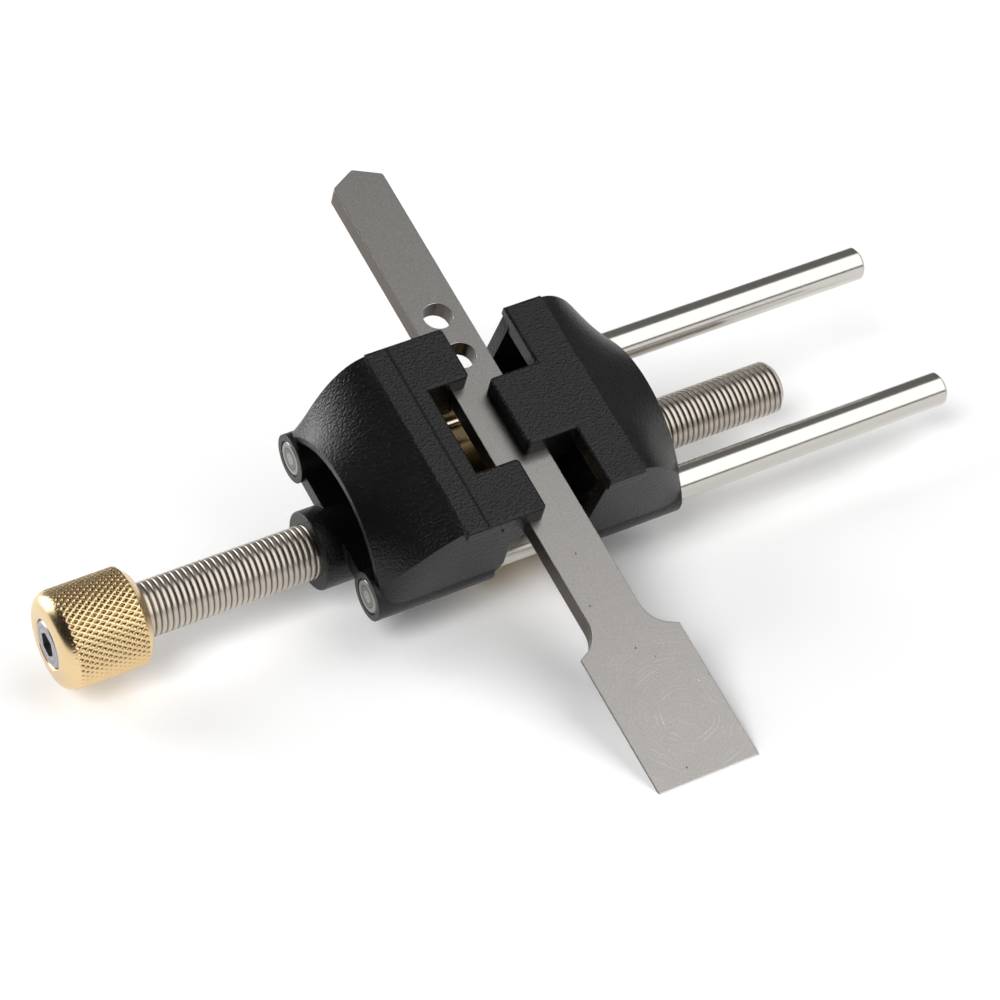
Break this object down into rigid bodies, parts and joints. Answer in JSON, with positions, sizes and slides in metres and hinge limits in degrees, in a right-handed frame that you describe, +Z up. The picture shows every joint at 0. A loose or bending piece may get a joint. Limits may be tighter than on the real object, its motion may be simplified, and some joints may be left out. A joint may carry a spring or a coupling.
{
  "type": "honing guide",
  "caption": "Side-clamping honing guide: a screw with opposed threads draws its finger jaws along rods to grip a narrow plane blade at its honing angle over a roller.",
  "frame": {"origin": "middle of the bounding box, on the plane that the roller and the cutting edge rest on", "axes": "+X runs along the guide rods away from the knob, +Y points towards the blade's tail, +Z is up; the jaws and the blade are tilted about X by the honing angle"},
  "size_m": [0.165, 0.1167, 0.055],
  "materials": {
    "black_powder_coat": "fine-textured black powder coat on a die casting",
    "polished_stainless": "ground and polished stainless steel",
    "threaded_stainless": "fine-threaded stainless steel",
    "knurled_brass": "diamond knurl between smooth turned rims",
    "socket_screw_steel": "plain socket-head screw",
    "polished_brass": "fine turned and polished",
    "bearing_bronze": "plain oil-filled bronze bush",
    "washer_steel": "plain steel",
    "spring_steel": "phosphated spring steel",
    "lapped_tool_steel": "ground and lapped tool steel"
  },
  "bodies": {
    "left_jaw": {"left_jaw": "black_powder_coat", "guide_rod_near": "polished_stainless", "guide_rod_far": "polished_stainless"},
    "right_jaw": {"right_jaw": "black_powder_coat"},
    "roller_carriage": {"roller_bush": "bearing_bronze", "thrust_washer_left": "washer_steel", "thrust_washer_right": "washer_steel"},
    "clamp_screw": {"clamp_screw": "threaded_stainless", "clamp_knob": "knurled_brass", "knob_screw": "socket_screw_steel", "retaining_ring_left": "spring_steel", "retaining_ring_right": "spring_steel"},
    "roller": {"roller": "polished_brass"},
    "blade": {"plane_blade": "lapped_tool_steel"}
  },
  "joints": [
    {"name": "left_jaw_slide", "type": "slide", "parent": "roller_carriage", "child": "left_jaw", "axis": [-1, 0, 0], "range_m": [0, 0.02434]},
    {"name": "right_jaw_slide", "type": "slide", "parent": "roller_carriage", "child": "right_jaw", "axis": [1, 0, 0], "range_m": [0, 0.02434]},
    {"name": "clamp_screw_turn", "type": "hinge", "parent": "roller_carriage", "child": "clamp_screw", "pos_m": [-0.0015, 0.01486, 0.01235], "axis": [-1, 0, 0], "range_deg": [0, 8280]},
    {"name": "roller_spin", "type": "hinge", "parent": "roller_carriage", "child": "roller", "pos_m": [-0.0015, 0.01486, 0.01235], "axis": [1, 0, 0], "continuous": true},
    {"name": "blade_slide", "type": "slide", "parent": "roller_carriage", "child": "blade", "axis": [0, 0.9022, 0.4314], "range_m": [-0.03, 0.018]}
  ],
  "couplings": [
    {"joint": "right_jaw_slide", "follows": "left_jaw_slide", "ratio": 1},
    {"joint": "clamp_screw_turn", "follows": "left_jaw_slide", "rad_per_m": 5936.9}
  ]
}
